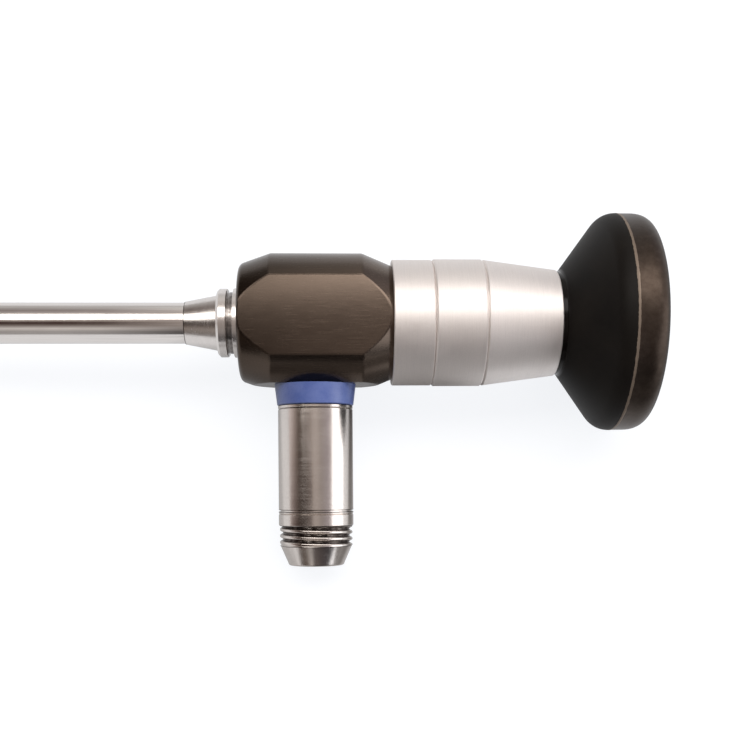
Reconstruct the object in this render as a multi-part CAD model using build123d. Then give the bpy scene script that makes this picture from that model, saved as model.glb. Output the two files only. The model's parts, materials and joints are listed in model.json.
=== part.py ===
"""A rigid endoscope with a straight shaft, a light post and a 32 mm eyepiece, lying at rest on a table.

The scope is first built on its own axes: the optical axis is X, the eyepiece is at +X, the tip at -X, and
the light post points along -Y. Station means the distance along the optical axis from the light post's
axis, and reach means the distance from the optical axis along the light post. At the end every piece is
turned and moved as one, so that the eyecup's ridge, the shaft's tip and the light post touch the table at
Z = 0.
"""

from build123d import *
import os
from math import asin, atan, atan2, cos, degrees, hypot, radians, sin, tan

# Clearances and small edges
slip = 0.05  # radial clearance between pieces that slide or are bonded into each other
edge = 0.12  # bevel of turned metal edges
seam_edge = 0.25  # bevel of the satin rings where they meet

# Shaft
working_length = 290.0  # from the tip to the small end of the cone
sheath_radius = 3.0
sheath_wall = 0.2
sheath_tip_edge = 0.1
optic_tube_radius = 2.25
optic_tube_wall = 0.2

# Cone and rings in front of the body
cone_length = 4.8
cone_lip = 0.12  # wall of the cone's small end over the sheath
cone_rear_radius = 4.06
front_ring_length = 1.5
front_ring_radius = 5.0
front_ring_bevel = 0.35
ring_gap = 0.3  # dark gap between the two rings
ring_gap_radius = 4.4
coupling_ring_length = 1.4
coupling_ring_radius = 5.05
spigot_radius = 3.9
spigot_depth = 4.5  # how far the ferrule reaches into the body
nose_length = 6.0  # how far the ferrule reaches into the sheath
nose_wall = 0.15

# Body
body_length = 22.2
body_front_to_post = 10.9
body_radius = 10.1
body_front_radius = 8.5
body_rear_radius = 8.3
body_front_taper = 4.6
body_rear_taper = 4.35
body_front_edge = 1.0
body_rear_edge = 0.15
body_taper_round = 1.0
side_flat = 8.4  # distance of both side flats from the optical axis
post_flat = 9.15  # distance of the light post's seat from the optical axis
flat_bevel = 0.12
chamber_radius = 5.6  # room in the body where the light fibres turn

# Satin rings and ocular housing behind the body
marking_ring_length = 5.95
marking_ring_radius = 9.2
locking_ring_length = 7.35
locking_ring_radius = 9.3
housing_length = 10.95
housing_front_radius = 9.25
housing_rear_radius = 7.8
carrier_radius = 7.2
carrier_wall = 1.0
carrier_plug_length = 4.7
carrier_web = 2.0
carrier_length = 18.3  # from the body's rear face to the carrier's end
housing_bore = 5.5
spigot_rear_radius = 6.9
spigot_rear_length = 3.5

# Eyecup
eyecup_neck_radius = 7.62
eyecup_neck_length = 0.6
eyecup_flare_angle = 53.6  # from the optical axis
eyecup_radius = 16.0  # the standard 32 mm eyepiece
eyecup_shoulder_drop = 0.14  # how much smaller the cup is where the flare ends
eyecup_shoulder_round = 3.0
eyecup_shoulder_length = 1.8  # from the flare's end to the ridge
rim_length = 4.77
rim_bevel_length = 1.9
rim_bevel_depth = 1.1
rim_bevel_round = 1.5
rim_edge_round = 0.9
rim_face_width = 2.0  # the flat end face, before its outer edge is rounded
dish_depth = 6.0
dish_floor_radius = 6.4
eyecup_hole_radius = 4.7

# Ocular, inside the carrier and the housing
ocular_barrel_length = 13.6
ocular_barrel_wall = 1.0
field_stop_thickness = 0.4
field_stop_hole = 1.8
field_stop_notch = 0.5
ocular_spacer_length = 5.6
ocular_spacer_wall = 0.7
ocular_flint_edge = 1.2
ocular_crown_edge = 1.6
ocular_curve = 14.0  # radius of the lens faces
cement = 0.02
retaining_ring_length = 1.8
spanner_slot_width = 1.0
spanner_slot_depth = 0.6
centring_screw_radius = 0.8
centring_screw_count = 3
centring_screw_from_body = 9.0
screw_slot_width = 0.25
screw_slot_depth = 0.35

# Eyepiece window
window_mount_length = 2.2
window_mount_radius = 5.9
window_mount_wall = 1.2
window_radius = 5.2
window_thickness = 1.2

# Seals
body_seal_groove = 0.8
body_seal_from_face = 2.2
housing_seal_groove = 0.5
housing_seal_from_end = 2.4
seal_groove_play = 0.1
seal_bevel_share = 0.55

# Tip optics and relay
tip_window_thickness = 1.0
objective_length = 9.0
objective_wall = 0.3
objective_lens_edge = 2.2
objective_curve = 4.0
objective_rim = 0.3
objective_spacer_length = 2.6
rod_count = 6
rod_rim = 0.35  # flat rim of a rod lens on which its spacer seats
rod_curve = 12.0
relay_spacer_length = 7.0
relay_spacer_wall = 0.25

# Light post, by reach
colour_ring_length = 3.05
colour_ring_base_radius = 5.98
colour_ring_end_radius = 5.6
post_radius = 5.5  # flange, sleeve and collar alike
post_neck_radius = 4.6
post_shank_radius = 4.15
post_shank_length = 2.6
post_flange_length = 0.55
post_stem_radius = 3.9
sleeve_length = 15.38
groove_width = 0.22
groove_depth = 0.25
groove_from_end = 0.35
collar_length = 1.75
thread_length = 2.9
thread_radius = 5.34  # over the crests
thread_relief_width = 0.35
thread_relief_depth = 0.4
tip_taper_length = 2.92
tip_base_radius = 5.26
tip_end_radius = 4.0
tip_edge = 0.3
tip_wall = 2.2  # wall of the post's tip around its end
guide_radius = 2.3
guide_wall = 0.55
guide_length = 20.0
guide_window_thickness = 0.8
guide_window_recess = 0.1
guide_bend_radius = 4.5
guide_bend_start = 2.7  # distance of the bundle's middle line from the optical axis before it turns

# Stations along the optical axis
body_front = -body_front_to_post
body_rear = body_front + body_length
coupling_ring_front = body_front - coupling_ring_length
front_ring_rear = coupling_ring_front - ring_gap
front_ring_front = front_ring_rear - front_ring_length
cone_front = front_ring_front - cone_length
shaft_tip = cone_front - working_length
ferrule_rear = body_front + spigot_depth
carrier_front = body_rear - carrier_plug_length
web_rear = body_rear + carrier_web
carrier_rear = body_rear + carrier_length
marking_ring_rear = body_rear + marking_ring_length
locking_ring_rear = marking_ring_rear + locking_ring_length
housing_rear = locking_ring_rear + housing_length
spigot_rear = housing_rear + spigot_rear_length
flare_front = housing_rear + eyecup_neck_length
shoulder_radius = eyecup_radius - eyecup_shoulder_drop
dish_mouth_radius = eyecup_radius - rim_bevel_depth - rim_face_width
shoulder_station = flare_front + (shoulder_radius - eyecup_neck_radius) / tan(radians(eyecup_flare_angle))
ridge_station = shoulder_station + eyecup_shoulder_length
rim_rear = ridge_station + rim_length
dish_floor = rim_rear - dish_depth

# Reaches along the light post
colour_ring_end = post_flat + colour_ring_length
flange_end = colour_ring_end + post_flange_length
sleeve_end = flange_end + sleeve_length
collar_end = sleeve_end + collar_length
thread_end = collar_end + thread_length
post_end = thread_end + tip_taper_length
stem_end = post_end - tip_wall

# Bores and inner radii that follow from the pieces in them
sheath_bore = sheath_radius - sheath_wall
nose_radius = sheath_bore - slip
nose_bore = nose_radius - nose_wall
optic_tube_bore = optic_tube_radius - optic_tube_wall
optic_part_radius = optic_tube_bore - slip
carrier_bore = carrier_radius - carrier_wall
barrel_radius = carrier_bore - slip
barrel_bore = barrel_radius - ocular_barrel_wall
ocular_part_radius = barrel_bore - slip
guide_bore = guide_radius - guide_wall
bundle_radius = guide_bore - slip
guide_end = post_end - guide_window_recess - guide_window_thickness

ROUNDED = "rounded"
STANDING = (Align.CENTER, Align.CENTER, Align.MIN)


def turned(*corners):
    """A solid turned about the optical axis from its half section.

    Each corner is station and radius, and the size of its bevel if it has one. ROUNDED after the size makes
    it a rounding of that radius.
    """
    points, rounding = [], []
    for k, corner in enumerate(corners):
        here = Vector(*corner[:2])
        size = corner[2] if len(corner) > 2 else 0
        if size and corner[-1] is not ROUNDED:
            for neighbour in (corners[k - 1], corners[(k + 1) % len(corners)]):
                points.append(here + (Vector(*neighbour[:2]) - here).normalized() * size)
                rounding.append(0)
        else:
            points.append(here)
            rounding.append(size)
    if any(rounding):
        outline = FilletPolyline(*points, radius=rounding, close=True)
    else:
        outline = Polyline(*points, close=True)
    return revolve(make_face(outline), Axis.X)


def tube(front, rear, outer, inner=0.0, front_edge=0.0, rear_edge=0.0):
    """A plain turned ring, tube or disc with its outer edges bevelled."""
    return turned((front, inner), (front, outer, front_edge), (rear, outer, rear_edge), (rear, inner))


def post_turned(*corners):
    """A solid turned about the light post, with corners as above but with reach in place of station."""
    return Rot(0, 0, -90) * turned(*corners)


def lens(front, rear, radius, front_curve=0.0, rear_curve=0.0, rim=0.0):
    """A lens between two rim stations. A positive curve bulges out, a negative one is hollow, 0 is flat."""
    aperture = radius - rim

    def face_middle(station, curve, outward):
        sag = abs(curve) - (curve**2 - aperture**2) ** 0.5 if curve else 0.0
        return station + outward * (sag if curve > 0 else -sag)

    front_middle = face_middle(front, front_curve, -1)
    rear_middle = face_middle(rear, rear_curve, 1)
    edges = [Line((front_middle, 0), (rear_middle, 0))]
    for station, middle, curve in ((front, front_middle, front_curve), (rear, rear_middle, rear_curve)):
        if curve:
            outward = 1 if middle > station else -1
            centre = middle - outward * abs(curve)
            half_angle = asin(aperture / abs(curve)) / 2
            on_face = (centre + outward * abs(curve) * cos(half_angle), abs(curve) * sin(half_angle))
            edges.append(ThreePointArc((middle, 0), on_face, (station, aperture)))
        else:
            edges.append(Line((middle, 0), (station, aperture)))
        if rim:
            edges.append(Line((station, aperture), (station, radius)))
    edges.append(Line((front, radius), (rear, radius)))
    return revolve(make_face(Wire(edges)), Axis.X)


def outer_sheath():
    return tube(shaft_tip, cone_front, sheath_radius, sheath_bore, sheath_tip_edge)


def optic_tube():
    return tube(shaft_tip, web_rear, optic_tube_radius, optic_tube_bore)


def shaft_ferrule():
    """The cone and front ring, with a nose inside the sheath and a spigot inside the body."""
    nose_front = cone_front - nose_length
    return turned(
        (nose_front, nose_bore),
        (nose_front, nose_radius),
        (cone_front, nose_radius),
        (cone_front, sheath_radius + cone_lip),
        (front_ring_front, cone_rear_radius),
        (front_ring_front, front_ring_radius, front_ring_bevel),
        (front_ring_rear, front_ring_radius, edge),
        (front_ring_rear, ring_gap_radius),
        (coupling_ring_front, ring_gap_radius),
        (coupling_ring_front, spigot_radius),
        (ferrule_rear, spigot_radius),
        (ferrule_rear, nose_bore),
    )


def coupling_ring():
    return tube(coupling_ring_front, body_front, coupling_ring_radius, spigot_radius + slip, edge, edge)


def main_body():
    blank = turned(
        (body_front, 0),
        (body_front, body_front_radius, body_front_edge, ROUNDED),
        (body_front + body_front_taper, body_radius, body_taper_round, ROUNDED),
        (body_rear - body_rear_taper, body_radius, body_taper_round, ROUNDED),
        (body_rear, body_rear_radius, body_rear_edge, ROUNDED),
        (body_rear, 0),
    )
    stock = 2 * body_radius
    flats = Box(2 * body_length, stock + 2 * post_flat, 2 * side_flat)
    shell = blank & (Pos(0, stock / 2, 0) * flats)
    flat_faces = [
        shell.faces().sort_by(Axis.Z)[-1],
        shell.faces().sort_by(Axis.Z)[0],
        shell.faces().sort_by(Axis.Y)[0],
    ]
    outline = [e for face in flat_faces for e in face.outer_wire().edges()]
    shell = chamfer(outline, flat_bevel)
    shell -= tube(body_front, ferrule_rear, spigot_radius + slip)
    shell -= tube(ferrule_rear, body_rear, chamber_radius)
    shank_bore = post_shank_radius + slip
    shell -= post_turned((0, 0), (0, shank_bore), (post_flat, shank_bore), (post_flat, 0))
    return shell


def centring_screw_places():
    """One on the light post's side and the others evenly around the carrier."""
    station = body_rear + centring_screw_from_body
    turns = [90 + k * 360 / centring_screw_count for k in range(centring_screw_count)]
    return [Pos(station, 0, 0) * Rot(turn, 0, 0) for turn in turns]


def ocular_carrier():
    plug_radius = chamber_radius - slip
    carrier = turned(
        (carrier_front, optic_tube_radius + slip),
        (carrier_front, plug_radius, edge),
        (body_rear, plug_radius),
        (body_rear, carrier_radius),
        (carrier_rear, carrier_radius, edge),
        (carrier_rear, carrier_bore),
        (web_rear, carrier_bore),
        (web_rear, optic_tube_radius + slip),
    )
    for station, floor, bore in (body_seal_place(), housing_seal_place()):
        half_width = (bore - floor + seal_groove_play) / 2
        carrier -= tube(station - half_width, station + half_width, bore, floor)
    for place in centring_screw_places():
        carrier -= place * Cylinder(centring_screw_radius + slip, 2 * carrier_radius, align=STANDING)
    return carrier


def body_seal_place():
    """The station, groove floor and bore of the seal between the carrier and the body."""
    return body_rear - body_seal_from_face, chamber_radius - slip - body_seal_groove, chamber_radius


def housing_seal_place():
    """The station, groove floor and bore of the seal between the carrier and the ocular housing."""
    return carrier_rear - housing_seal_from_end, carrier_radius - housing_seal_groove, carrier_radius + slip


def seal_ring(station, floor, bore):
    """A rubber ring squeezed between its groove's floor and a bore, its section a bevelled square."""
    half = (bore - floor) / 2
    bevel = half * seal_bevel_share
    front, rear = station - half, station + half
    return turned((front, floor, bevel), (front, bore, bevel), (rear, bore, bevel), (rear, floor, bevel))


def centring_screws():
    length = carrier_wall - slip
    screw = Pos(0, 0, carrier_bore) * Cylinder(centring_screw_radius, length, align=STANDING)
    slot = Box(screw_slot_width, 4 * centring_screw_radius, 2 * screw_slot_depth)
    screw -= Pos(0, 0, carrier_bore + length) * slot
    return [place * screw for place in centring_screw_places()]


def marking_ring():
    bore = carrier_radius + slip
    return tube(body_rear, marking_ring_rear, marking_ring_radius, bore, edge, seam_edge)


def locking_ring():
    bore = carrier_radius + slip
    return tube(marking_ring_rear, locking_ring_rear, locking_ring_radius, bore, seam_edge, seam_edge)


def ocular_housing():
    mount_seat = spigot_rear - window_mount_length
    mount_bore = window_mount_radius + slip
    return turned(
        (locking_ring_rear, carrier_radius + slip),
        (locking_ring_rear, housing_front_radius, seam_edge),
        (housing_rear, housing_rear_radius, edge),
        (housing_rear, spigot_rear_radius),
        (spigot_rear, spigot_rear_radius),
        (spigot_rear, mount_bore),
        (mount_seat, mount_bore),
        (mount_seat, housing_bore),
        (carrier_rear, housing_bore),
        (carrier_rear, carrier_radius + slip),
    )


def eyecup():
    bore = spigot_rear_radius + slip
    return turned(
        (housing_rear, bore),
        (housing_rear, eyecup_neck_radius),
        (flare_front, eyecup_neck_radius),
        (shoulder_station, shoulder_radius, eyecup_shoulder_round, ROUNDED),
        (ridge_station, eyecup_radius),
        (rim_rear - rim_bevel_length, eyecup_radius, rim_bevel_round, ROUNDED),
        (rim_rear, eyecup_radius - rim_bevel_depth, rim_edge_round, ROUNDED),
        (rim_rear, dish_mouth_radius),
        (dish_floor, dish_floor_radius),
        (dish_floor, eyecup_hole_radius),
        (spigot_rear, eyecup_hole_radius),
        (spigot_rear, bore),
    )


def window_mount():
    seat = spigot_rear - window_thickness
    front = spigot_rear - window_mount_length
    return turned(
        (front, window_mount_radius - window_mount_wall),
        (front, window_mount_radius),
        (spigot_rear, window_mount_radius),
        (spigot_rear, window_radius + slip),
        (seat, window_radius + slip),
        (seat, window_mount_radius - window_mount_wall),
    )


def eyepiece_window():
    return tube(spigot_rear - window_thickness, spigot_rear, window_radius)


def ocular_pieces():
    """The ocular barrel with its field stop, spacer, two lenses and retaining ring, from front to rear."""
    stop_rear = web_rear + field_stop_thickness
    spacer_rear = stop_rear + ocular_spacer_length
    flint_rear = spacer_rear + ocular_flint_edge
    crown_front = flint_rear + cement
    crown_rear = crown_front + ocular_crown_edge
    ring_rear = crown_rear + retaining_ring_length
    radius = ocular_part_radius
    rim = ocular_spacer_wall

    stop = tube(web_rear, stop_rear, radius, field_stop_hole)
    notch = Box(4 * field_stop_thickness, field_stop_notch, field_stop_notch)
    stop -= Pos(web_rear, field_stop_hole, 0) * Rot(45, 0, 0) * notch
    ring = tube(crown_rear, ring_rear, radius, radius - rim)
    ring -= Pos(ring_rear, 0, 0) * Box(2 * spanner_slot_depth, 4 * radius, spanner_slot_width)
    return {
        "ocular_barrel": tube(web_rear, web_rear + ocular_barrel_length, barrel_radius, barrel_bore),
        "field_stop": stop,
        "ocular_spacer": tube(stop_rear, spacer_rear, radius, radius - rim),
        "ocular_lens_flint": lens(spacer_rear, flint_rear, radius, rear_curve=-ocular_curve, rim=rim),
        "ocular_lens_crown": lens(crown_front, crown_rear, radius, ocular_curve, ocular_curve, rim),
        "ocular_retaining_ring": ring,
    }


def tip_pieces():
    """The tip window and the objective, from front to rear."""
    window_rear = shaft_tip + tip_window_thickness
    front_lens_rear = window_rear + objective_lens_edge
    spacer_rear = front_lens_rear + objective_spacer_length
    rear_lens_rear = spacer_rear + objective_lens_edge
    bore = optic_part_radius - objective_wall
    radius = bore - slip
    curve = objective_curve
    rim = objective_rim
    return {
        "tip_window": tube(shaft_tip, window_rear, optic_part_radius),
        "objective_barrel": tube(window_rear, window_rear + objective_length, optic_part_radius, bore),
        "objective_front_lens": lens(window_rear, front_lens_rear, radius, rear_curve=-curve, rim=rim),
        "objective_spacer": tube(front_lens_rear, spacer_rear, radius, radius - rim),
        "objective_rear_lens": lens(spacer_rear, rear_lens_rear, radius, curve, curve, rim),
    }


def relay_pieces():
    """The rod lenses and the spacer tubes before, between and behind them, which fill the optic tube."""
    front = shaft_tip + tip_window_thickness + objective_length
    spacers = (rod_count + 1) * relay_spacer_length
    rod_length = (web_rear - front - spacers) / rod_count
    pieces = {}
    for k in range(rod_count + 1):
        spacer_front = front + k * (relay_spacer_length + rod_length)
        rod_front = spacer_front + relay_spacer_length
        inner = optic_part_radius - relay_spacer_wall
        pieces[f"relay_spacer_{k + 1}"] = tube(spacer_front, rod_front, optic_part_radius, inner)
        if k < rod_count:
            rod = lens(rod_front, rod_front + rod_length, optic_part_radius, rod_curve, rod_curve, rod_rim)
            pieces[f"rod_lens_{k + 1}"] = rod
    return pieces


def post_colour_ring():
    bore = post_neck_radius + slip
    return post_turned(
        (post_flat, bore),
        (post_flat, colour_ring_base_radius),
        (colour_ring_end, colour_ring_end_radius, edge),
        (colour_ring_end, bore),
    )


def light_post():
    bore = guide_radius + slip
    return post_turned(
        (post_flat - post_shank_length, bore),
        (post_flat - post_shank_length, post_shank_radius),
        (post_flat, post_shank_radius),
        (post_flat, post_neck_radius),
        (colour_ring_end, post_neck_radius),
        (colour_ring_end, post_radius, edge),
        (flange_end, post_radius, edge),
        (flange_end, post_stem_radius),
        (stem_end, post_stem_radius),
        (stem_end, bore),
    )


def post_sleeve():
    bore = post_stem_radius + slip
    groove_end = sleeve_end - groove_from_end
    groove_floor = post_radius - groove_depth
    return post_turned(
        (flange_end, bore),
        (flange_end, post_radius, edge),
        (groove_end - groove_width, post_radius),
        (groove_end - groove_width, groove_floor),
        (groove_end, groove_floor),
        (groove_end, post_radius),
        (sleeve_end, post_radius, edge),
        (sleeve_end, bore),
    )


def post_tip():
    relief_end = collar_end + thread_relief_width
    relief_radius = thread_radius - thread_relief_depth
    return post_turned(
        (sleeve_end, post_stem_radius + slip),
        (sleeve_end, post_radius, edge),
        (collar_end, post_radius, edge),
        (collar_end, relief_radius),
        (relief_end, relief_radius),
        (relief_end, thread_radius),
        (thread_end, thread_radius),
        (thread_end, tip_base_radius),
        (post_end, tip_end_radius, tip_edge, ROUNDED),
        (post_end, guide_radius + slip),
        (stem_end, guide_radius + slip),
        (stem_end, post_stem_radius + slip),
    )


def light_guide_tube():
    return post_turned(
        (guide_end - guide_length, guide_bore),
        (guide_end - guide_length, guide_radius),
        (guide_end, guide_radius),
        (guide_end, guide_bore),
    )


def light_guide_window():
    end = guide_end + guide_window_thickness
    return post_turned((guide_end, 0), (guide_end, guide_radius), (end, guide_radius), (end, 0))


def light_fibre_bundle():
    """The fibres: a layer around the optic tube that gathers in the body and turns into the light post."""
    inner = optic_tube_radius + slip
    outer = sheath_bore - slip
    neck = nose_bore - slip
    neck_front = cone_front - nose_length - slip
    gather_front = ferrule_rear + slip
    turn_station = -guide_bend_radius
    layer = turned(
        (shaft_tip, inner),
        (shaft_tip, outer),
        (neck_front, outer),
        (neck_front, neck),
        (gather_front, neck),
        (turn_station, outer + slip + guide_wall),
        (turn_station + guide_wall, inner),
    )
    start = (gather_front + bundle_radius - guide_wall, -guide_bend_start)
    turn_end = -(guide_bend_start + guide_bend_radius)
    halfway = guide_bend_radius * sin(radians(45))
    route = [
        Line(start, (turn_station, -guide_bend_start)),
        ThreePointArc(
            (turn_station, -guide_bend_start),
            (turn_station + halfway, turn_end + halfway),
            (0, turn_end),
        ),
        Line((0, turn_end), (0, -guide_end)),
    ]
    section = Plane(origin=(*start, 0), z_dir=(1, 0, 0)) * Circle(bundle_radius)
    bundle = layer + sweep(section, path=Wire(route))
    return bundle - tube(shaft_tip, carrier_front, inner)


def rest_place():
    """The turn that lays the scope on its eyecup's ridge, its tip and its light post."""
    pitch = atan((eyecup_radius - sheath_radius) / (ridge_station - shaft_tip))
    table_reach = sheath_radius - shaft_tip * tan(pitch)
    post_corners = (
        (post_end, tip_end_radius),
        (thread_end, thread_radius),
        (collar_end, post_radius),
    )
    roll = min(
        asin(table_reach / hypot(reach, radius)) - atan2(radius, reach) for reach, radius in post_corners
    )
    return Rot(0, -degrees(pitch), 0) * Rot(degrees(roll), 0, 0)


def build():
    """Every piece by its node's name, on the scope's own axes."""
    pieces = {
        "outer_sheath": outer_sheath(),
        "optic_tube": optic_tube(),
        "light_fibre_bundle": light_fibre_bundle(),
        "shaft_ferrule": shaft_ferrule(),
        "coupling_ring": coupling_ring(),
        "main_body": main_body(),
        "ocular_carrier": ocular_carrier(),
        "centring_screws": centring_screws(),
        "body_seal": seal_ring(*body_seal_place()),
        "housing_seal": seal_ring(*housing_seal_place()),
        "marking_ring": marking_ring(),
        "locking_ring": locking_ring(),
        "ocular_housing": ocular_housing(),
        "eyecup": eyecup(),
        "window_mount": window_mount(),
        "eyepiece_window": eyepiece_window(),
        "post_colour_ring": post_colour_ring(),
        "light_post": light_post(),
        "post_sleeve": post_sleeve(),
        "post_tip": post_tip(),
        "light_guide_tube": light_guide_tube(),
        "light_guide_window": light_guide_window(),
    }
    pieces.update(ocular_pieces())
    pieces.update(tip_pieces())
    pieces.update(relay_pieces())
    return pieces


def lay_down(pieces):
    """The pieces turned to rest and moved so that the table is at Z = 0 and the middle is over the origin."""
    turned_pieces = {}
    for name, shape in pieces.items():
        solids = shape if isinstance(shape, list) else [shape]
        turned_pieces[name] = Compound([solid for part in solids for solid in (rest_place() * part).solids()])
    box = Compound(list(turned_pieces.values())).bounding_box()
    shift = Pos(-box.center().X, -box.center().Y, -box.min.Z)
    return {name: shift * shape for name, shape in turned_pieces.items()}


placed = lay_down(build())
os.makedirs("parts", exist_ok=True)
for name, shape in placed.items():
    export_step(shape, f"parts/{name}.step")
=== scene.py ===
"""Looks of the rigid endoscope: its materials, its three finer pieces, the floor, light and camera.

Lengths in millimetres are on the scope's own axes: x runs along the optical axis towards the eyepiece and
is 0 at the light post, the light post points along -y, and z is square to both, out of the flat with the
camera.
"""

import json
from math import atan2, cos, pi, radians, sin, tan

import bmesh
import bpy
from mathutils import Matrix, Vector


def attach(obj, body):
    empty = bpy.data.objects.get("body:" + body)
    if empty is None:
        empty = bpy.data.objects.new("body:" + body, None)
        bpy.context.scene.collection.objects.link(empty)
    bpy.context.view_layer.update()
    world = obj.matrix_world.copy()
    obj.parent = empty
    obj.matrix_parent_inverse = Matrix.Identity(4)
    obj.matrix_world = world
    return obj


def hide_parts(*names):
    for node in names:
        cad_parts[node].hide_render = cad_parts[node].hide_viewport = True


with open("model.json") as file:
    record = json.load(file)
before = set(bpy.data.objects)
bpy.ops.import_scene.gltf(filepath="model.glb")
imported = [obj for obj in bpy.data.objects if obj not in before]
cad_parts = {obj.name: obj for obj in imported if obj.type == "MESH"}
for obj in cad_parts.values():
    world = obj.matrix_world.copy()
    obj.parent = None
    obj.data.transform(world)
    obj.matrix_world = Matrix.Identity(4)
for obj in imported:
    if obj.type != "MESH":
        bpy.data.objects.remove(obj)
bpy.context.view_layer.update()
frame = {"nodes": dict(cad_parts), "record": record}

MM = 0.001


def own_axes():
    """The matrix that takes the scope's own axes, in millimetres, to the model's frame in metres."""
    mounts = {m["name"]: m for m in frame["record"]["mounts"]}
    optical = -Vector(mounts["shaft"]["axis"]).normalized()
    post = Vector(mounts["light_post_sleeve"]["axis"]).normalized()
    on_optical = Vector(mounts["shaft"]["pos_m"])
    on_post = Vector(mounts["light_post_sleeve"]["pos_m"])
    origin = on_optical + optical * (on_post - on_optical).dot(optical)
    up = optical.cross(-post)
    matrix = Matrix((optical, -post, up)).transposed().to_4x4()
    return Matrix.Translation(origin) @ matrix @ Matrix.Scale(MM, 4)


own = own_axes()


def at(x, y, z):
    """A point on the scope's own axes, in the model's frame."""
    return own @ Vector((x, y, z))


# Sizes and stations in millimetres, as in the solids: along x first, then along the light post
SIDE_FLAT = 8.4
CONE_FRONT = -18.9
RING_FRONT = -12.3
RING_REAR = -10.9
RING_RADIUS = 5.05
RING_BORE = 3.95
NECK_END = 36.15
RIDGE_STATION = 44.03
EYECUP_RADIUS = 16.0
COLLAR_START = 28.13
COLLAR_END = 29.88
THREAD_END = 32.78
POST_END = 35.7
POST_RADIUS = 5.5
THREAD_CREST = 5.34
TIP_BASE = 5.26
TIP_END = 4.0
TIP_BORE = 2.35
FLANGE_START = 12.2
FLANGE_END = 12.75
SLEEVE_GROOVE = (27.56, 27.78)

# A dark brown that is painted as shade in grooves, seams and thread valleys
GROOVE_SHADE_COLOUR = (0.045, 0.033, 0.028)

# Most of a noise value lies in the first range, and the second gives clouds with firmer edges
NOISE_RANGE = (0.3, 0.7)
CLOUD_RANGE = (0.35, 0.65)

MIX_INPUTS = ("A", "B")


class Shader:
    """A node material built by short calls. Coordinates are the scope's own, in millimetres."""

    def __init__(self, name):
        self.material = bpy.data.materials.new(name)
        self.material.use_nodes = True
        self.tree = self.material.node_tree
        self.principled = self.tree.nodes["Principled BSDF"]
        coords = self.add("ShaderNodeTexCoord")
        mapping = self.add("ShaderNodeMapping")
        mapping.vector_type = "POINT"
        place, turn, scale = own.inverted().decompose()
        mapping.inputs["Location"].default_value = place
        mapping.inputs["Rotation"].default_value = turn.to_euler()
        mapping.inputs["Scale"].default_value = scale
        self.join(coords.outputs["Object"], mapping.inputs["Vector"])
        self.own = mapping.outputs["Vector"]
        split = self.add("ShaderNodeSeparateXYZ")
        self.join(self.own, split.inputs[0])
        self.x, self.y, self.z = split.outputs

    def add(self, kind):
        return self.tree.nodes.new(kind)

    def join(self, out, into):
        self.tree.links.new(out, into)

    def feed(self, socket, value):
        if isinstance(value, bpy.types.NodeSocket):
            self.join(value, socket)
        else:
            socket.default_value = value

    def math(self, operation, *values, clamp=False):
        node = self.add("ShaderNodeMath")
        node.operation = operation
        node.use_clamp = clamp
        for socket, value in zip(node.inputs, values):
            self.feed(socket, value)
        return node.outputs[0]

    def vector(self, x, y, z):
        node = self.add("ShaderNodeCombineXYZ")
        for socket, value in zip(node.inputs, (x, y, z)):
            self.feed(socket, value)
        return node.outputs[0]

    def around(self, first):
        """The radius and the turn in radians about the axis that is square to the first coordinate and z."""
        squares = self.math("ADD", self.math("POWER", first, 2), self.math("POWER", self.z, 2))
        return self.math("SQRT", squares), self.math("ARCTAN2", self.z, first)

    def around_axis(self):
        """The radius and the turn in radians about the optical axis."""
        return self.around(self.y)

    def around_post(self):
        """The radius and the turn in radians about the light post's axis."""
        return self.around(self.x)

    def noise(self, vector, scale, detail=3.0, roughness=0.55):
        node = self.add("ShaderNodeTexNoise")
        node.inputs["Scale"].default_value = scale
        node.inputs["Detail"].default_value = detail
        node.inputs["Roughness"].default_value = roughness
        self.join(vector, node.inputs["Vector"])
        return node.outputs[0]

    def spread(self, value, from_low, from_high, to_low, to_high):
        """The value taken from one range to another, and held at its ends."""
        node = self.add("ShaderNodeMapRange")
        self.join(value, node.inputs["Value"])
        ends = {"From Min": from_low, "From Max": from_high, "To Min": to_low, "To Max": to_high}
        for name, number in ends.items():
            self.feed(node.inputs[name], number)
        return node.outputs[0]

    def mix(self, share, first, second):
        node = self.add("ShaderNodeMix")
        node.data_type = "RGBA"
        self.feed(node.inputs["Factor"], share)
        for name, colour in zip(MIX_INPUTS, (first, second)):
            socket = [s for s in node.inputs if s.name == name and s.type == "RGBA"][0]
            self.feed(socket, colour if isinstance(colour, bpy.types.NodeSocket) else (*colour, 1))
        return [s for s in node.outputs if s.type == "RGBA"][0]

    def bump(self, height, distance, strength=1.0, under=None):
        """Relief of that height in millimetres where the height value goes from 0 to 1."""
        node = self.add("ShaderNodeBump")
        node.inputs["Distance"].default_value = distance * MM
        node.inputs["Strength"].default_value = strength
        self.join(height, node.inputs["Height"])
        if under is not None:
            self.join(under, node.inputs["Normal"])
        return node.outputs[0]

    def finish(self, **sockets):
        for name, value in sockets.items():
            socket = self.principled.inputs[name.replace("_", " ")]
            if isinstance(value, tuple):
                value = (*value, 1)
            self.feed(socket, value)
        return self.material


def turned_marks(shader, along, turn, pitch, wobble=1.0):
    """A value from 0 to 1 like fine turning marks around an axis, with that pitch along it."""
    stretched = shader.vector(
        shader.math("MULTIPLY", along, 1 / pitch),
        shader.math("MULTIPLY", shader.math("SINE", turn), wobble),
        shader.math("MULTIPLY", shader.math("COSINE", turn), wobble),
    )
    return shader.noise(stretched, 1.0, 4.0, 0.6)


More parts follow.
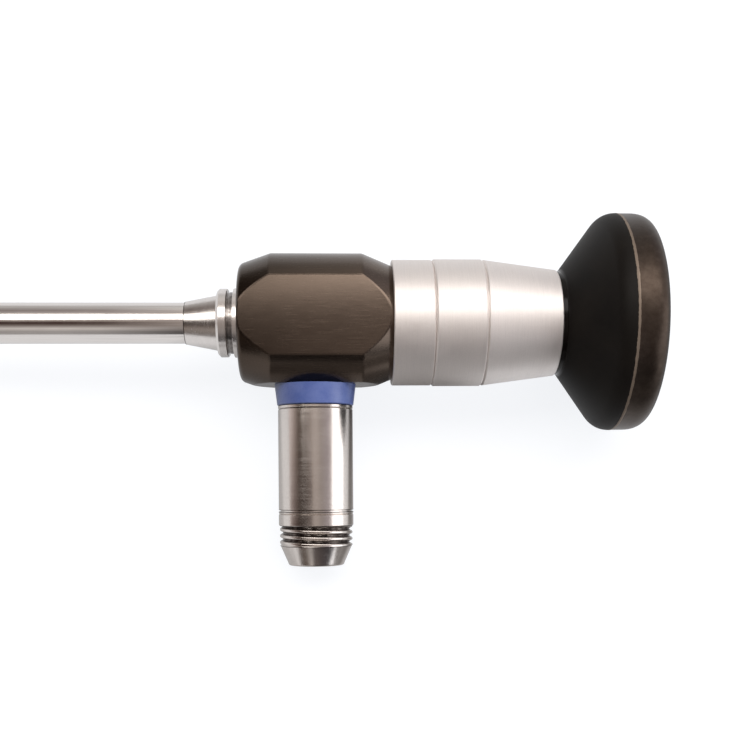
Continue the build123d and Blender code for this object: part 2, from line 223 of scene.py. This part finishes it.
def metal_turned(
    name, colour, roughness, marks, relief, around="axis", grain=0.1, shaded_lines=(), shade_below_radius=None
):
    """Turned metal: fine rings around its axis, faint smudges, and painted shade in its grooves.

    Each shaded line is (distance along the axis, half its width), a dark band painted where a groove or seam
    lies in shade. Given a radius for it, painted shade also lies below that radius, in the thread's valleys
    between the light post's collar and the end of its thread.
    """
    smudge = 0.03
    s = Shader(name)
    if around == "axis":
        radius, turn = s.around_axis()
        along = s.x
    else:
        radius, turn = s.around_post()
        along = s.math("MULTIPLY", s.y, -1)
    path = s.math("ADD", along, s.math("MULTIPLY", radius, 0.7))
    rings = turned_marks(s, path, turn, marks, 0.9)
    fine = turned_marks(s, path, turn, marks * 0.28, 2.5)
    smudges = s.noise(s.own, 0.35, 4.0, 0.6)
    rough = s.math(
        "ADD",
        s.spread(smudges, *NOISE_RANGE, roughness - smudge, roughness + smudge),
        s.spread(rings, *NOISE_RANGE, -0.03, 0.03),
    )
    darker = tuple(c * 0.93 for c in colour)
    tint = s.mix(s.spread(fine, *NOISE_RANGE, 0, 1), darker, colour)
    specks = s.noise(s.own, 7.0, 3.0, 0.7)
    tint = s.mix(s.spread(specks, *CLOUD_RANGE, grain, 0), tint, tuple(c * 0.55 for c in colour))
    patchy = s.spread(s.noise(s.own, 1.4, 3.0, 0.6), 0.3, 0.6, 0.55, 1)
    # Painted shade: a dark band along each groove and seam
    for place, half in shaded_lines:
        off = s.math("ABSOLUTE", s.math("SUBTRACT", along, place))
        tint = s.mix(s.math("MULTIPLY", s.spread(off, half * 0.5, half, 0.85, 0), patchy), tint, GROOVE_SHADE_COLOUR)
    # Painted shade in the thread's valleys, below the given radius
    if shade_below_radius:
        valley_shade = s.spread(radius, shade_below_radius - 0.2, shade_below_radius, 0.92, 0)
        valley_shade = s.math("MULTIPLY", valley_shade, s.spread(along, COLLAR_END - 0.05, COLLAR_END, 0, 1))
        valley_shade = s.math("MULTIPLY", valley_shade, s.spread(along, THREAD_END, THREAD_END + 0.05, 1, 0))
        tint = s.mix(s.math("MULTIPLY", valley_shade, patchy), tint, GROOVE_SHADE_COLOUR)
    normal = s.bump(fine, relief, 0.5, s.bump(rings, relief * 1.6, 0.5))
    return s.finish(Base_Color=tint, Metallic=1.0, Roughness=rough, Normal=normal)


def shaft_metal():
    """The shaft's polished tube: faint draw lines along it and fine handling scratches."""
    s = Shader("shaft_steel")
    lines = s.noise(s.vector(s.math("MULTIPLY", s.x, 0.012), s.y, s.z), 9.0, 4.0, 0.65)
    waves = s.noise(s.vector(s.math("MULTIPLY", s.x, 0.05), s.y, s.z), 0.5, 2.0, 0.5)
    smudges = s.noise(s.own, 0.22, 4.0, 0.6)
    rough = s.spread(smudges, *NOISE_RANGE, 0.09, 0.16)
    tint = s.mix(s.spread(lines, *NOISE_RANGE, 0, 1), (0.67, 0.63, 0.605), (0.78, 0.745, 0.72))
    normal = s.bump(lines, 0.0016, 0.5, s.bump(waves, 0.02, 0.4))
    return s.finish(Base_Color=tint, Metallic=1.0, Roughness=rough, Normal=normal)


def body_metal():
    """The body's dark brown coating, brushed along the scope.

    Its colour is painted darker towards the front, a painted shade, and the flats are shaded as if they were
    slightly crowned, because the photograph's body looks so.
    """
    half_width = 5.6
    half_length = 9.0
    edge_softness = 0.16
    s = Shader("dark_metal")
    brush = s.noise(s.vector(s.math("MULTIPLY", s.x, 0.07), s.y, s.z), 5.5, 5.0, 0.7)
    fine = s.noise(s.vector(s.math("MULTIPLY", s.x, 0.03), s.y, s.z), 16.0, 3.0, 0.7)
    cloud = s.noise(s.own, 0.16, 3.0, 0.5)
    both = s.math("ADD", s.math("MULTIPLY", brush, 0.55), s.math("MULTIPLY", fine, 0.45))
    tint = s.mix(s.spread(both, 0.25, 0.75, 0, 1), (0.105, 0.079, 0.062), (0.147, 0.112, 0.090))
    tint = s.mix(s.spread(cloud, *CLOUD_RANGE, 0, 0.3), tint, (0.10, 0.077, 0.062))
    # Painted shade: the coating's colour darkens towards the front end
    tint = s.mix(s.spread(s.x, -10, 9, 0.62, 0), tint, (0.030, 0.022, 0.017))
    rough = s.spread(brush, *NOISE_RANGE, 0.2, 0.29)
    on_flat = s.math("GREATER_THAN", s.math("ABSOLUTE", s.z), SIDE_FLAT - 0.02)
    across = s.math("MULTIPLY", s.math("POWER", s.math("MULTIPLY", s.y, 1 / half_width), 2), -0.2)
    lengthwise = s.math("MULTIPLY", s.math("POWER", s.math("MULTIPLY", s.x, 1 / half_length), 2), -0.22)
    crown = s.math("MULTIPLY", s.math("ADD", across, lengthwise), on_flat)
    soft_edge = s.add("ShaderNodeBevel")
    soft_edge.inputs["Radius"].default_value = edge_softness * MM
    normal = s.bump(crown, 1.0, 1.0, soft_edge.outputs[0])
    normal = s.bump(fine, 0.0014, 0.5, s.bump(brush, 0.0018, 0.5, normal))
    return s.finish(Base_Color=tint, Metallic=1.0, Roughness=rough, Normal=normal)


def cup_plastic():
    """The eyecup: matt black cone and shinier neck, a browner gripped rim, and a painted highlight along its
    ridge.
    """
    s = Shader("black_plastic")
    radius = s.around_axis()[0]
    grain = s.noise(s.own, 14.0, 3.0, 0.6)
    highlight_width_noise = s.noise(s.vector(s.math("MULTIPLY", s.x, 0.6), s.y, s.z), 1.2, 4.0, 0.65)
    patches = s.noise(s.own, 0.16, 3.0, 0.5)
    band = s.spread(s.x, RIDGE_STATION - 0.25, RIDGE_STATION + 0.35, 0, 1)
    outside = s.spread(radius, EYECUP_RADIUS - 1.3, EYECUP_RADIUS - 0.5, 0, 1)
    on_rim = s.math("MULTIPLY", band, outside, clamp=True)
    patchy = s.spread(patches, *CLOUD_RANGE, 0, 1)
    cone = s.mix(patchy, (0.0045, 0.0035, 0.0028), (0.0085, 0.0066, 0.0052))
    mottle = s.spread(s.noise(s.own, 1.1, 5.0, 0.65), 0.25, 0.75, 0, 1)
    rim = s.mix(mottle, (0.044, 0.032, 0.025), (0.074, 0.056, 0.045))
    tint = s.mix(on_rim, cone, rim)
    # Painted highlight: a light line along the ridge, of uneven width
    ridge = s.math("ABSOLUTE", s.math("SUBTRACT", s.x, RIDGE_STATION))
    thin = s.spread(highlight_width_noise, *NOISE_RANGE, 0.13, 0.24)
    ridge_highlight = s.math("MULTIPLY", s.math("LESS_THAN", ridge, thin), outside)
    tint = s.mix(ridge_highlight, tint, (0.21, 0.165, 0.13))
    rough = s.math("ADD", s.spread(grain, *NOISE_RANGE, 0.5, 0.6), s.math("MULTIPLY", on_rim, -0.17))
    rough = s.math("SUBTRACT", rough, s.spread(s.x, NECK_END, NECK_END + 0.3, 0.4, 0))
    normal = s.bump(grain, 0.006, 0.5)
    s.principled.inputs["Specular IOR Level"].default_value = 0.14
    return s.finish(Base_Color=tint, Metallic=on_rim, Roughness=rough, Normal=normal)


def blue_paint():
    """The colour ring's semi-gloss blue."""
    s = Shader("blue_ring")
    grain = s.noise(s.own, 9.0, 3.0, 0.6)
    cloud = s.noise(s.own, 0.5, 3.0, 0.5)
    tint = s.mix(s.spread(cloud, *CLOUD_RANGE, 0, 1), (0.10, 0.15, 0.41), (0.135, 0.19, 0.46))
    rough = s.spread(grain, *NOISE_RANGE, 0.24, 0.33)
    return s.finish(Base_Color=tint, Roughness=rough, Normal=s.bump(grain, 0.002, 0.5))


def clear_glass():
    """Polished optical glass with a faint coating and a few specks of dust."""
    s = Shader("clear_glass")
    dust = s.noise(s.own, 6.0, 2.0, 0.5)
    rough = s.spread(dust, 0.55, 0.8, 0.0, 0.12)
    s.principled.inputs["Transmission Weight"].default_value = 1.0
    s.principled.inputs["IOR"].default_value = 1.52
    s.principled.inputs["Specular Tint"].default_value = (0.82, 0.86, 1.0, 1)
    tint = s.mix(s.spread(dust, 0.5, 0.8, 0, 1), (0.965, 0.985, 0.99), (0.9, 0.92, 0.92))
    return s.finish(Base_Color=tint, Roughness=rough)


def fibre_glass():
    """The polished ends of the light fibres: fine round cores in dark resin."""
    s = Shader("fibre")
    cells = s.add("ShaderNodeTexVoronoi")
    cells.inputs["Scale"].default_value = 14.0
    s.join(s.own, cells.inputs["Vector"])
    core = s.spread(cells.outputs["Distance"], 0.32, 0.5, 0, 1)
    tint = s.mix(core, (0.80, 0.72, 0.5), (0.30, 0.22, 0.12))
    return s.finish(Base_Color=tint, Roughness=0.22)


def matt_aluminium():
    """Black anodised aluminium inside the optics."""
    s = Shader("black_aluminium")
    rings = turned_marks(s, s.x, s.around_axis()[1], 0.12)
    tint = s.mix(s.spread(rings, *NOISE_RANGE, 0, 1), (0.018, 0.018, 0.02), (0.04, 0.04, 0.043))
    return s.finish(Base_Color=tint, Metallic=0.4, Roughness=0.55, Normal=s.bump(rings, 0.006, 0.5))


def rubber():
    """Matt seal rubber."""
    s = Shader("seal_rubber")
    grain = s.noise(s.own, 20.0, 2.0, 0.5)
    tint = s.mix(grain, (0.012, 0.012, 0.012), (0.03, 0.03, 0.03))
    return s.finish(Base_Color=tint, Roughness=0.7, Normal=s.bump(grain, 0.004, 0.5))


materials = {
    "shaft_steel": shaft_metal(),
    "satin_steel": metal_turned("satin_steel", (0.875, 0.83, 0.805), 0.54, 0.22, 0.004),
    "post_steel": metal_turned(
        "post_steel", (0.74, 0.685, 0.645), 0.21, 0.3, 0.0025, around="post", grain=0.3,
        shade_below_radius=THREAD_CREST - 0.1,
        # Painted shade in the grooves at the flange, the sleeve, the collar and the thread's end
        shaded_lines=(
            (FLANGE_START + 0.05, 0.1),
            (FLANGE_END + 0.04, 0.06),
            (SLEEVE_GROOVE[0] - 0.05, 0.08),
            (SLEEVE_GROOVE[1] + 0.06, 0.09),
            (COLLAR_END, 0.12),
            (THREAD_END + 0.05, 0.08),
        ),
    ),
    "dark_metal": body_metal(),
    "black_plastic": cup_plastic(),
    "blue_ring": blue_paint(),
    "clear_glass": clear_glass(),
    "fibre": fibre_glass(),
    "black_aluminium": matt_aluminium(),
    "inner_steel": metal_turned("inner_steel", (0.62, 0.61, 0.60), 0.3, 0.25, 0.004),
    "seal_rubber": rubber(),
}
turned_steel = metal_turned(
    "turned_steel", (0.74, 0.70, 0.675), 0.24, 0.6, 0.0006, grain=0.03,
    # Painted shade in the grooves at the cone, the front ring and the coupling ring
    shaded_lines=(
        (CONE_FRONT + 0.05, 0.1),
        (RING_FRONT - 0.15, 0.2),
        (RING_FRONT + 0.25, 0.34),
        (RING_REAR, 0.12),
    ),
)

slot_of = {part["node"]: part["material_slot"] for part in frame["record"]["subparts"]}
for name, node in frame["nodes"].items():
    material = materials[slot_of[name]]
    if name in ("shaft_ferrule", "coupling_ring"):
        material = turned_steel
    node.data.materials.clear()
    node.data.materials.append(material)


def turned_piece(name, node, profile, place, shape=None, around=160):
    """A closed turned mesh that stands for a node. Each point of the profile is (distance along, radius).

    Shape, where it is given, takes a point and its share of the turn, and gives the radius there.
    """
    sharp_angle = radians(35)
    mesh = bmesh.new()
    rows = []
    for along, radius in profile:
        row = []
        for i in range(around):
            turn = 2 * pi * i / around
            r = shape(along, radius, i / around) if shape else radius
            row.append(mesh.verts.new(place(along, r * cos(turn), r * sin(turn))))
        rows.append(row)
    for first, second in zip(rows, rows[1:] + rows[:1]):
        for i in range(around):
            k = (i + 1) % around
            mesh.faces.new((first[i], first[k], second[k], second[i]))
    bmesh.ops.recalc_face_normals(mesh, faces=mesh.faces)
    data = bpy.data.meshes.new(name)
    mesh.to_mesh(data)
    mesh.free()
    data.materials.append(frame["nodes"][node].data.materials[0])
    for face in data.polygons:
        face.use_smooth = True
    data.set_sharp_from_angle(angle=sharp_angle)
    piece = bpy.data.objects.new(name, data)
    bpy.context.scene.collection.objects.link(piece)
    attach(piece, "root")
    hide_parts(node)


def threaded_tip():
    """The light post's tip with the turns of its fine thread, from the collar to the end face."""
    pitch = 0.95
    depth = 0.46
    bevel = 0.13
    stem_radius = 3.95
    stem_end = 33.5
    end_round = 0.35
    round_turn = radians(68)
    round_steps = 5
    bore_bevel = 0.12
    valley_half = 0.4
    run_in = 0.15
    run_out = 0.3
    thread_start = COLLAR_END + 0.04
    thread_steps = 60
    profile = [
        (COLLAR_START, stem_radius),
        (COLLAR_START, POST_RADIUS - bevel),
        (COLLAR_START + bevel, POST_RADIUS),
        (COLLAR_END - bevel, POST_RADIUS),
        (COLLAR_END, POST_RADIUS - bevel),
        (COLLAR_END + 0.02, THREAD_CREST - depth),
    ]
    for k in range(thread_steps + 1):
        profile.append((thread_start + (THREAD_END - thread_start) * k / thread_steps, THREAD_CREST))
    profile.append((THREAD_END + 0.04, TIP_BASE))
    slope = (TIP_BASE - TIP_END) / (POST_END - THREAD_END)
    profile.append((POST_END - end_round, TIP_END + slope * end_round))
    for k in range(1, round_steps + 1):
        turn = k / round_steps * round_turn
        reach = POST_END - end_round * 0.8 * (1 - sin(turn) / sin(round_turn))
        profile.append((reach, TIP_END + 0.12 - 0.42 * (1 - cos(turn))))
    profile += [
        (POST_END, TIP_BORE + bore_bevel),
        (POST_END - 0.1, TIP_BORE),
        (stem_end, TIP_BORE),
        (stem_end, stem_radius),
    ]

    def threaded(reach, radius, share):
        """The radius in the thread's run, where a rounded valley winds around the crest."""
        if radius != THREAD_CREST:
            return radius
        phase = ((reach - thread_start) / pitch + share) % 1.0
        valley = max(0.0, 1 - abs(phase - 0.5) / valley_half)
        share_cut = min(1.0, (reach - thread_start) / run_in + 0.25, (THREAD_END - reach) / run_out)
        return radius - depth * (0.5 - 0.5 * cos(pi * valley)) * max(0.0, share_cut)

    def along_post(along, a, b):
        return at(a, -along, b)

    turned_piece("post_tip_threaded", "post_tip", profile, along_post, threaded)


def grooved_ring():
    """The coupling ring with a recess at its front, which widens the dark groove there."""
    groove_end = -11.75
    groove_radius = 4.5
    bevel = 0.06
    profile = [
        (RING_FRONT, RING_BORE),
        (RING_FRONT, groove_radius),
        (groove_end, groove_radius),
        (groove_end, RING_RADIUS - bevel),
        (groove_end + bevel, RING_RADIUS),
        (RING_REAR - bevel, RING_RADIUS),
        (RING_REAR, RING_RADIUS - bevel),
        (RING_REAR, RING_BORE),
    ]
    turned_piece("coupling_ring_grooved", "coupling_ring", profile, at)


def smooth_eyecup():
    """The eyecup with its shoulder, ridge and rounded rim as continuous curves; the ridge's painted highlight
    is in its material.
    """
    neck = (35.55, 7.62)
    spigot_rear = 39.05
    spigot_bore = 6.95
    hole_radius = 4.7
    dish_floor = (42.8, 6.4)
    shoulder = (42.23, 15.86)
    shoulder_round = 3.0
    rim_radius = 15.95
    rim_round_start = 45.9
    rim_rear = 48.8
    rim_face_outer = 13.75
    rim_power = 2.4
    mouth_radius = 12.9
    mouth_round = 0.25
    steps = 12
    flare_angle = atan2(shoulder[1] - neck[1], shoulder[0] - NECK_END)
    land_angle = atan2(EYECUP_RADIUS - shoulder[1], RIDGE_STATION - shoulder[0])
    reach = shoulder_round * tan((flare_angle - land_angle) / 2)
    start = (shoulder[0] - reach * cos(flare_angle), shoulder[1] - reach * sin(flare_angle))
    centre = (
        start[0] + shoulder_round * sin(flare_angle),
        start[1] - shoulder_round * cos(flare_angle),
    )
    profile = [neck, (NECK_END, neck[1])]
    for k in range(steps + 1):
        angle = flare_angle + (land_angle - flare_angle) * k / steps
        profile.append(
            (centre[0] - shoulder_round * sin(angle), centre[1] + shoulder_round * cos(angle))
        )
    profile += [
        (RIDGE_STATION - 0.1, EYECUP_RADIUS - 0.005),
        (RIDGE_STATION, EYECUP_RADIUS),
        (RIDGE_STATION + 0.1, EYECUP_RADIUS - 0.005),
        (RIDGE_STATION + 0.35, rim_radius),
    ]
    for k in range(2 * steps + 1):
        turn = k / (2 * steps) * pi / 2
        along = sin(turn) ** (2 / rim_power)
        high = max(0.0, cos(turn)) ** (2 / rim_power)
        profile.append(
            (
                rim_round_start + (rim_rear - rim_round_start) * along,
                rim_face_outer + (rim_radius - rim_face_outer) * high,
            )
        )
    slope = (mouth_radius - dish_floor[1]) / (rim_rear - dish_floor[0])
    profile += [
        (rim_rear, mouth_radius + mouth_round),
        (rim_rear - 0.06, mouth_radius + 0.03),
        (rim_rear - mouth_round, mouth_radius - mouth_round * slope),
        dish_floor,
        (dish_floor[0], hole_radius),
        (spigot_rear, hole_radius),
        (spigot_rear, spigot_bore),
        (neck[0], spigot_bore),
    ]
    turned_piece("eyecup_smooth", "eyecup", profile, at, around=256)


threaded_tip()
grooved_ring()
smooth_eyecup()


def floor():
    """A wide floor under the scope, which glows for the camera and through clear pieces, so that it is pale.

    Metal mirrors a dimmer glow, and less or none of it in a near zone, below the body and the rings, and in a
    far zone on the same side. That keeps the scope's lower sides as dark as in the photograph.
    """
    half = 3.0
    seen_glow = 0.88
    mirrored_glow = 0.7
    left_share = 0.45
    near_start = (8, 13)
    near_end = (22, 30)
    near_side = (-9, -3)
    left_start = (-24, -15)
    far_start = (-32, -16)
    far_end = (140, 220)
    far_side = (-50, -40)
    corners = [(-half, -half, 0), (half, -half, 0), (half, half, 0), (-half, half, 0)]
    data = bpy.data.meshes.new("floor")
    data.from_pydata(corners, [], [(0, 1, 2, 3)])
    piece = bpy.data.objects.new("floor", data)
    bpy.context.scene.collection.objects.link(piece)
    s = Shader("floor")
    path = s.add("ShaderNodeLightPath")
    seen = s.math("MAXIMUM", path.outputs["Is Camera Ray"], path.outputs["Is Transmission Ray"])
    near = s.math("MULTIPLY", s.spread(s.x, *near_start, 0, 1), s.spread(s.x, *near_end, 1, 0))
    left = s.spread(s.x, *left_start, 0, left_share)
    left = s.math("MULTIPLY", left, s.spread(s.x, *near_start, 1, 0))
    near = s.math("MULTIPLY", s.math("ADD", near, left), s.spread(s.y, *near_side, 1, 0))
    far = s.math("MULTIPLY", s.spread(s.x, *far_start, 0, 1), s.spread(s.x, *far_end, 1, 0))
    far = s.math("MULTIPLY", far, s.spread(s.y, *far_side, 1, 0))
    shaded = s.math("MAXIMUM", near, far)
    mirrored = s.math("MULTIPLY", path.outputs["Is Glossy Ray"], s.spread(shaded, 0, 1, mirrored_glow, 0.0))
    glow = s.math("ADD", s.math("MULTIPLY", seen, seen_glow), mirrored)
    s.finish(Base_Color=(0.2, 0.2, 0.2), Roughness=0.9)
    s.principled.inputs["Emission Color"].default_value = (0.95, 0.97, 1.0, 1)
    s.join(glow, s.principled.inputs["Emission Strength"])
    data.materials.append(s.material)


floor()


def direction(right, up, out):
    """A direction given on the scope's own axes, in the model's frame."""
    return (own.to_3x3() @ Vector((right, up, out))).normalized()


def panel(name, toward, distance, width, height, radiance, colour):
    """A soft lamp that faces the scope from that direction, with its upper side turned up."""
    data = bpy.data.lights.new(name, "AREA")
    data.shape = "RECTANGLE"
    data.size = width
    data.size_y = height
    data.energy = radiance * pi * width * height
    data.color = colour
    lamp = bpy.data.objects.new(name, data)
    centre = at(12, 0, 0)
    lamp.location = centre + toward * distance
    lamp.rotation_euler = (-toward).to_track_quat("-Z", "Y").to_euler()
    bpy.context.scene.collection.objects.link(lamp)


panel("softbox_back", direction(0.0, 0.508, 0.862), 1.0, 1.9, 0.52, 3.3, (1.0, 0.975, 0.94))
panel("softbox_right", direction(0.91, -0.24, 0.35), 1.1, 1.1, 0.88, 1.6, (0.93, 0.96, 1.0))

# The studio that metal mirrors, by the angle about the scope's axis in degrees: 0 is over the flat, minus is
# towards the picture's top and plus towards its bottom
STUDIO_MIDDLE = (
    (-95, (0.66, 0.65, 0.64)),
    (-76, (0.86, 0.83, 0.80)),
    (-55, (0.55, 0.50, 0.47)),
    (-14, (0.52, 0.46, 0.43)),
    (-6, (0.47, 0.41, 0.38)),
    (15, (0.42, 0.37, 0.34)),
    (28, (0.31, 0.275, 0.255)),
    (46, (0.12, 0.10, 0.10)),
    (58, (0.03, 0.025, 0.025)),
    (95, (0.015, 0.015, 0.02)),
)
# The same over the shaft, on the left
STUDIO_LEFT = (
    (-95, (0.60, 0.59, 0.58)),
    (-66, (0.28, 0.24, 0.23)),
    (-50, (0.50, 0.46, 0.44)),
    (-13, (0.50, 0.45, 0.42)),
    (-3, (0.36, 0.30, 0.27)),
    (1, (0.05, 0.025, 0.02)),
    (12, (0.06, 0.035, 0.03)),
    (24, (0.30, 0.26, 0.24)),
    (38, (0.75, 0.71, 0.68)),
    (56, (0.42, 0.40, 0.39)),
    (78, (0.46, 0.45, 0.45)),
    (95, (0.62, 0.62, 0.63)),
)
# How bright the studio is by how far to the right a direction points, from -1 to 1
STUDIO_SIDE = (
    (-1.0, (1.7, 1.7, 1.75)),
    (-0.92, (1.05, 1.0, 1.0)),
    (-0.8, (0.3, 0.26, 0.23)),
    (-0.5, (0.3, 0.25, 0.22)),
    (-0.3, (1.0, 1.0, 1.0)),
    (0.1, (1.0, 1.0, 1.0)),
    (0.26, (0.75, 0.75, 0.75)),
    (0.6, (0.8, 0.8, 0.9)),
    (1.0, (1.9, 1.95, 2.0)),
)


def studio():
    """The room that lights the scope and that metal and glass mirror, while the camera itself sees white.

    It has two ramps by the angle about the scope's axis, and one from left to right.
    """
    left_limit = -0.12
    left_blend = 0.1
    data = bpy.data.worlds.new("studio")
    bpy.context.scene.world = data
    data.use_nodes = True
    tree = data.node_tree
    nodes, links = tree.nodes, tree.links
    background = nodes["Background"]
    coords = nodes.new("ShaderNodeTexCoord")

    def along(axis):
        node = nodes.new("ShaderNodeVectorMath")
        node.operation = "DOT_PRODUCT"
        links.new(coords.outputs["Generated"], node.inputs[0])
        node.inputs[1].default_value = axis
        return node.outputs["Value"]

    def math(operation, first, second, clamp=False):
        node = nodes.new("ShaderNodeMath")
        node.operation = operation
        node.use_clamp = clamp
        for socket, value in zip(node.inputs, (first, second)):
            if isinstance(value, bpy.types.NodeSocket):
                links.new(value, socket)
            else:
                socket.default_value = value
        return node.outputs[0]

    def ramp(value, steps, low, high):
        """Colours at places between low and high, in straight runs."""
        node = nodes.new("ShaderNodeValToRGB")
        links.new(math("DIVIDE", math("SUBTRACT", value, low), high - low), node.inputs[0])
        elements = node.color_ramp.elements
        while len(elements) < len(steps):
            elements.new(0.5)
        for element, step in zip(elements, steps):
            element.position = (step[0] - low) / (high - low)
        for element, step in zip(elements, steps):
            element.color = (*step[1], 1)
        return node.outputs[0]

    def blend(kind, share, first, second):
        node = nodes.new("ShaderNodeMix")
        node.data_type = "RGBA"
        node.blend_type = kind
        for name, value in zip(("Factor", *MIX_INPUTS), (share, first, second)):
            wanted = "RGBA" if name in MIX_INPUTS else "VALUE"
            socket = [s for s in node.inputs if s.name == name and s.type == wanted][0]
            if isinstance(value, bpy.types.NodeSocket):
                links.new(value, socket)
            else:
                socket.default_value = value
        return [s for s in node.outputs if s.type == "RGBA"][0]

    right = along(direction(1, 0, 0))
    turn = math("ARCTAN2", along(direction(0, -1, 0)), along(direction(0, 0, 1)))
    angle = math("MULTIPLY", turn, 180 / pi)
    middle = ramp(angle, STUDIO_MIDDLE, -180, 180)
    left = ramp(angle, STUDIO_LEFT, -180, 180)
    to_left = math("DIVIDE", math("SUBTRACT", left_limit, right), left_blend, clamp=True)
    colour = blend("MIX", to_left, middle, left)
    colour = blend("MULTIPLY", 1.0, colour, ramp(right, STUDIO_SIDE, -1, 1))
    path = nodes.new("ShaderNodeLightPath")
    colour = blend("MIX", path.outputs["Is Camera Ray"], colour, (1.0, 1.0, 1.0, 1.0))
    links.new(colour, background.inputs["Color"])


studio()

# The camera, fitted to the photograph: the scope's own axes are turned about x, then y, then z, and the
# camera then stands over minus CAMERA_ASIDE, at CAMERA_HEIGHT
CAMERA_TURN = (0.0053, 0.0494, 0.0077)
CAMERA_ASIDE = (-10.58, 24.1)
CAMERA_HEIGHT = 155.0
CAMERA_FOCUS_PIXELS = 1048.7
PRINCIPAL_POINT = (386.3, 486.3)
PHOTO_SIDE = 750
SENSOR_WIDTH = 36.0


def camera():
    """The camera at the photograph's place, with its lens and its off-centre frame."""
    data = bpy.data.cameras.new("camera")
    data.sensor_width = SENSOR_WIDTH
    data.lens = CAMERA_FOCUS_PIXELS * SENSOR_WIDTH / PHOTO_SIDE
    data.clip_start = 0.005
    data.shift_x = (PHOTO_SIDE / 2 - PRINCIPAL_POINT[0]) / PHOTO_SIDE
    data.shift_y = (PRINCIPAL_POINT[1] - PHOTO_SIDE / 2) / PHOTO_SIDE
    obj = bpy.data.objects.new("camera", data)
    turn_x, turn_y, turn_z = (Matrix.Rotation(a, 3, axis) for a, axis in zip(CAMERA_TURN, "XYZ"))
    back = (turn_z @ turn_y @ turn_x).inverted()
    place = back @ Vector((-CAMERA_ASIDE[0], -CAMERA_ASIDE[1], CAMERA_HEIGHT))
    obj.matrix_world = Matrix.Translation(at(*place)) @ (own.to_3x3().normalized() @ back).to_4x4()
    bpy.context.scene.collection.objects.link(obj)
    bpy.context.scene.camera = obj


camera()
bpy.context.scene.view_settings.view_transform = "Standard"
